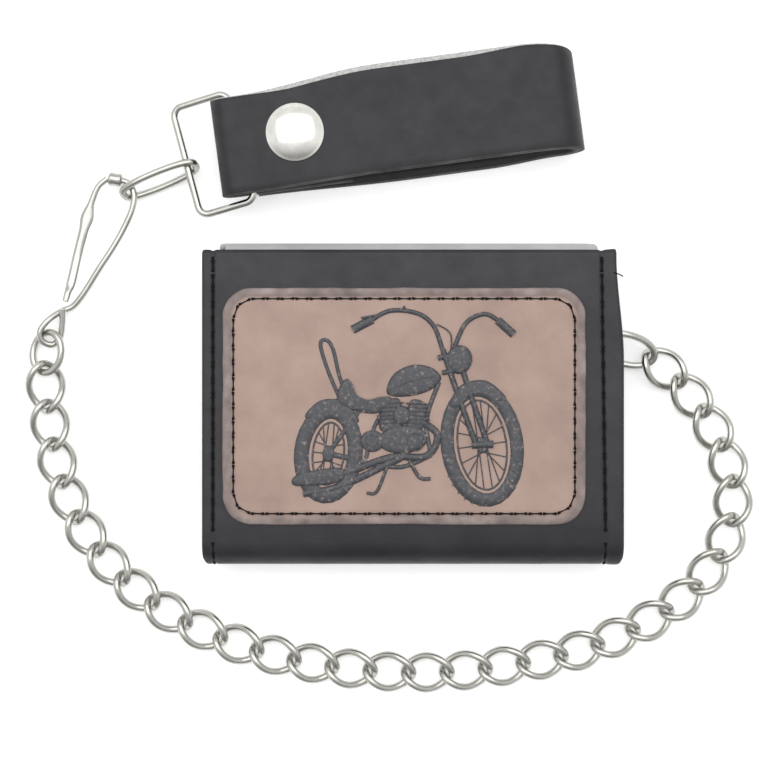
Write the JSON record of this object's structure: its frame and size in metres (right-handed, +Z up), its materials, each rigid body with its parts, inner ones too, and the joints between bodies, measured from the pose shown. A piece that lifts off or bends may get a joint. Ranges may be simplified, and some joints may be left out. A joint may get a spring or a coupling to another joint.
{
  "type": "chain wallet",
  "caption": "Black leather trifold wallet with a stitched tan motorcycle patch, a curb chain, a spring hook and a leather belt strap closed by a snap.",
  "frame": {"origin": "centre of the closed wallet's outline on the plane it lies on, under the padded centre of the outer flap", "axes": "+X to the right along the wallet's folds, +Y towards the top fold, +Z up out of the patch"},
  "size_m": [0.1907, 0.1669, 0.0173],
  "materials": {
    "black_leather": "smooth semi-gloss",
    "lining": "matt",
    "tan_leather": "smooth",
    "print_ink": "raised print, satin",
    "thread": "waxed",
    "nickel": "polished nickel plate",
    "clear_vinyl": "clear"
  },
  "bodies": {
    "outer_flap_body": {"outer_flap": "black_leather", "outer_pocket_back": "lining", "outer_pocket_front": "lining", "grommet": "nickel", "grommet_washer": "nickel", "bottom_fold": "black_leather"},
    "middle_body": {"middle_panel": "black_leather", "bill_divider": "lining", "middle_lining": "lining", "middle_pocket": "lining", "side_stitching": "thread", "patch": "tan_leather", "patch_stitching": "thread", "motorcycle_print": "print_ink", "top_fold": "black_leather"},
    "inner_body": {"inner_flap": "black_leather", "id_window_frame": "lining", "id_window": "clear_vinyl"},
    "attach_ring_body": {"attach_ring": "nickel"},
    "link_01_body": {"link_01": "nickel"},
    "link_02_body": {"link_02": "nickel"},
    "link_03_body": {"link_03": "nickel"},
    "link_04_body": {"link_04": "nickel"},
    "link_05_body": {"link_05": "nickel"},
    "link_06_body": {"link_06": "nickel"},
    "link_07_body": {"link_07": "nickel"},
    "link_08_body": {"link_08": "nickel"},
    "link_09_body": {"link_09": "nickel"},
    "link_10_body": {"link_10": "nickel"},
    "link_11_body": {"link_11": "nickel"},
    "link_12_body": {"link_12": "nickel"},
    "link_13_body": {"link_13": "nickel"},
    "link_14_body": {"link_14": "nickel"},
    "link_15_body": {"link_15": "nickel"},
    "link_16_body": {"link_16": "nickel"},
    "link_17_body": {"link_17": "nickel"},
    "link_18_body": {"link_18": "nickel"},
    "link_19_body": {"link_19": "nickel"},
    "link_20_body": {"link_20": "nickel"},
    "link_21_body": {"link_21": "nickel"},
    "link_22_body": {"link_22": "nickel"},
    "link_23_body": {"link_23": "nickel"},
    "link_24_body": {"link_24": "nickel"},
    "link_25_body": {"link_25": "nickel"},
    "link_26_body": {"link_26": "nickel"},
    "link_27_body": {"link_27": "nickel"},
    "link_28_body": {"link_28": "nickel"},
    "link_29_body": {"link_29": "nickel"},
    "end_ring_body": {"end_ring": "nickel"},
    "hook": {"hook_body": "nickel", "hook_collar": "nickel"},
    "gate": {"hook_gate": "nickel"},
    "oval_link_body": {"oval_link": "nickel"},
    "loop_body": {"strap_loop": "nickel"},
    "strap_front_body": {"strap_front": "black_leather", "strap_fold": "black_leather", "snap_cap": "nickel", "snap_socket": "nickel"},
    "strap_back_body": {"strap_back": "black_leather", "snap_stud": "nickel"}
  },
  "joints": [
    {"name": "wallet_fold", "type": "hinge", "parent": "outer_flap_body", "child": "middle_body", "pos_m": [0, -0.0347, 0.0097], "axis": [1, 0, 0], "range_deg": [0, 150], "deforming": ["bottom_fold"]},
    {"name": "inner_fold", "type": "hinge", "parent": "middle_body", "child": "inner_body", "pos_m": [0, 0.0364, 0.0114], "axis": [1, 0, 0], "range_deg": [0, 55], "deforming": ["top_fold"]},
    {"name": "strap_open", "type": "hinge", "parent": "strap_front_body", "child": "strap_back_body", "pos_m": [0.03673, 0.07827, 0.0065], "axis": [0.1326, -0.9912, 0], "range_deg": [0, 75], "deforming": ["strap_fold"]},
    {"name": "gate_swing", "type": "hinge", "parent": "hook", "child": "gate", "pos_m": [-0.0906, 0.0276, 0.0046], "axis": [0, 0, 1], "range_deg": [0, 14], "stiffness_Nm_per_rad": 0.02},
    {"name": "strap_swing", "type": "hinge", "parent": "loop_body", "child": "strap_front_body", "pos_m": [-0.04445, 0.0674, 0.0089], "axis": [-0.2588, 0.9659, 0], "range_deg": [-60, 30]},
    {"name": "loop_swing", "type": "hinge", "parent": "oval_link_body", "child": "loop_body", "pos_m": [-0.05868, 0.06217, 0.0049], "axis": [-0.2588, 0.9659, 0], "range_deg": [-12, 12]},
    {"name": "oval_link_tilt", "type": "hinge", "parent": "hook", "child": "oval_link_body", "pos_m": [-0.0736, 0.0562, 0.0036], "axis": [-0.3714, 0.9285, 0], "range_deg": [-10, 10]},
    {"name": "hook_tilt", "type": "hinge", "parent": "end_ring_body", "child": "hook", "pos_m": [-0.0952, 0.0172, 0.0029], "axis": [-0.9823, 0.1875, 0], "range_deg": [-7, 10]},
    {"name": "attach_ring_swing", "type": "hinge", "parent": "outer_flap_body", "child": "attach_ring_body", "pos_m": [0.0476, 0.0172, 0.0043], "axis": [0, 0, 1], "range_deg": [-12, 5]},
    {"name": "link_01_hinge", "type": "hinge", "parent": "attach_ring_body", "child": "link_01_body", "pos_m": [0.0622, 0.013, 0.0026], "axis": [0.4698, 0.8827, 0], "range_deg": [-15, 15]},
    {"name": "link_02_hinge", "type": "hinge", "parent": "link_01_body", "child": "link_02_body", "pos_m": [0.06992, 0.00652, 0.0026], "axis": [-0.7133, -0.7009, 0], "range_deg": [-15, 15]},
    {"name": "link_03_hinge", "type": "hinge", "parent": "link_02_body", "child": "link_03_body", "pos_m": [0.07626, -0.00131, 0.0026], "axis": [0.829, 0.5592, 0], "range_deg": [-15, 15]},
    {"name": "link_04_hinge", "type": "hinge", "parent": "link_03_body", "child": "link_04_body", "pos_m": [0.08115, -0.01013, 0.0026], "axis": [-0.9205, -0.3907, 0], "range_deg": [-15, 15]},
    {"name": "link_05_hinge", "type": "hinge", "parent": "link_04_body", "child": "link_05_body", "pos_m": [0.0841, -0.01977, 0.0026], "axis": [0.9903, 0.1392, 0], "range_deg": [-15, 15]},
    {"name": "link_06_hinge", "type": "hinge", "parent": "link_05_body", "child": "link_06_body", "pos_m": [0.08392, -0.02985, 0.0026], "axis": [-0.9848, 0.1736, 0], "range_deg": [-15, 15]},
    {"name": "link_07_hinge", "type": "hinge", "parent": "link_06_body", "child": "link_07_body", "pos_m": [0.08064, -0.03938, 0.0026], "axis": [0.8829, -0.4695, 0], "range_deg": [-15, 15]},
    {"name": "link_08_hinge", "type": "hinge", "parent": "link_07_body", "child": "link_08_body", "pos_m": [0.07458, -0.04743, 0.0026], "axis": [-0.7193, 0.6947, 0], "range_deg": [-15, 15]},
    {"name": "link_09_hinge", "type": "hinge", "parent": "link_08_body", "child": "link_09_body", "pos_m": [0.06674, -0.05377, 0.0026], "axis": [0.5592, -0.829, 0], "range_deg": [-15, 15]},
    {"name": "link_10_hinge", "type": "hinge", "parent": "link_09_body", "child": "link_10_body", "pos_m": [0.05793, -0.05866, 0.0026], "axis": [-0.4384, 0.8988, 0], "range_deg": [-15, 15]},
    {"name": "link_11_hinge", "type": "hinge", "parent": "link_10_body", "child": "link_11_body", "pos_m": [0.04865, -0.0626, 0.0026], "axis": [0.342, -0.9397, 0], "range_deg": [-15, 15]},
    {"name": "link_12_hinge", "type": "hinge", "parent": "link_11_body", "child": "link_12_body", "pos_m": [0.03901, -0.06554, 0.0026], "axis": [-0.2419, 0.9703, 0], "range_deg": [-15, 15]},
    {"name": "link_13_hinge", "type": "hinge", "parent": "link_12_body", "child": "link_13_body", "pos_m": [0.02911, -0.06747, 0.0026], "axis": [0.165, -0.9863, 0], "range_deg": [-15, 15]},
    {"name": "link_14_hinge", "type": "hinge", "parent": "link_13_body", "child": "link_14_body", "pos_m": [0.01913, -0.06887, 0.0026], "axis": [-0.1132, 0.9936, 0], "range_deg": [-15, 15]},
    {"name": "link_15_hinge", "type": "hinge", "parent": "link_14_body", "child": "link_15_body", "pos_m": [0.00909, -0.06975, 0.0026], "axis": [0.0523, -0.9986, 0], "range_deg": [-15, 15]},
    {"name": "link_16_hinge", "type": "hinge", "parent": "link_15_body", "child": "link_16_body", "pos_m": [-0.00099, -0.06993, 0.0026], "axis": [0.0175, 0.9998, 0], "range_deg": [-15, 15]},
    {"name": "link_17_hinge", "type": "hinge", "parent": "link_16_body", "child": "link_17_body", "pos_m": [-0.01106, -0.0694, 0.0026], "axis": [-0.0785, -0.9969, 0], "range_deg": [-15, 15]},
    {"name": "link_18_hinge", "type": "hinge", "parent": "link_17_body", "child": "link_18_body", "pos_m": [-0.02108, -0.06834, 0.0026], "axis": [0.1392, 0.9903, 0], "range_deg": [-15, 15]},
    {"name": "link_19_hinge", "type": "hinge", "parent": "link_18_body", "child": "link_19_body", "pos_m": [-0.03101, -0.06659, 0.0026], "axis": [-0.2079, -0.9781, 0], "range_deg": [-15, 15]},
    {"name": "link_20_hinge", "type": "hinge", "parent": "link_19_body", "child": "link_20_body", "pos_m": [-0.04079, -0.06416, 0.0026], "axis": [0.284, 0.9588, 0], "range_deg": [-15, 15]},
    {"name": "link_21_hinge", "type": "hinge", "parent": "link_20_body", "child": "link_21_body", "pos_m": [-0.05032, -0.06087, 0.0026], "axis": [-0.3665, -0.9304, 0], "range_deg": [-15, 15]},
    {"name": "link_22_hinge", "type": "hinge", "parent": "link_21_body", "child": "link_22_body", "pos_m": [-0.05953, -0.05677, 0.0026], "axis": [0.4617, 0.887, 0], "range_deg": [-15, 15]},
    {"name": "link_23_hinge", "type": "hinge", "parent": "link_22_body", "child": "link_23_body", "pos_m": [-0.06817, -0.05158, 0.0026], "axis": [-0.5736, -0.8192, 0], "range_deg": [-15, 15]},
    {"name": "link_24_hinge", "type": "hinge", "parent": "link_23_body", "child": "link_24_body", "pos_m": [-0.076, -0.04524, 0.0026], "axis": [0.6884, 0.7254, 0], "range_deg": [-15, 15]},
    {"name": "link_25_hinge", "type": "hinge", "parent": "link_24_body", "child": "link_25_body", "pos_m": [-0.08275, -0.03775, 0.0026], "axis": [-0.7986, -0.6018, 0], "range_deg": [-15, 15]},
    {"name": "link_26_hinge", "type": "hinge", "parent": "link_25_body", "child": "link_26_body", "pos_m": [-0.08809, -0.0292, 0.0026], "axis": [0.891, 0.454, 0], "range_deg": [-15, 15]},
    {"name": "link_27_hinge", "type": "hinge", "parent": "link_26_body", "child": "link_27_body", "pos_m": [-0.09186, -0.01985, 0.0026], "axis": [-0.9511, -0.309, 0], "range_deg": [-15, 15]},
    {"name": "link_28_hinge", "type": "hinge", "parent": "link_27_body", "child": "link_28_body", "pos_m": [-0.0943, -0.01007, 0.0026], "axis": [0.9816, 0.1908, 0], "range_deg": [-15, 15]},
    {"name": "link_29_hinge", "type": "hinge", "parent": "link_28_body", "child": "link_29_body", "pos_m": [-0.0957, -0.00009, 0.0026], "axis": [-0.9936, -0.1132, 0], "range_deg": [-15, 15]},
    {"name": "end_ring_hinge", "type": "hinge", "parent": "link_29_body", "child": "end_ring_body", "pos_m": [-0.09658, 0.00995, 0.0026], "axis": [0.9987, -0.0506, 0], "range_deg": [-15, 15]}
  ],
  "couplings": [
    {"joint": "inner_fold", "follows": "wallet_fold", "ratio": 0.36}
  ]
}
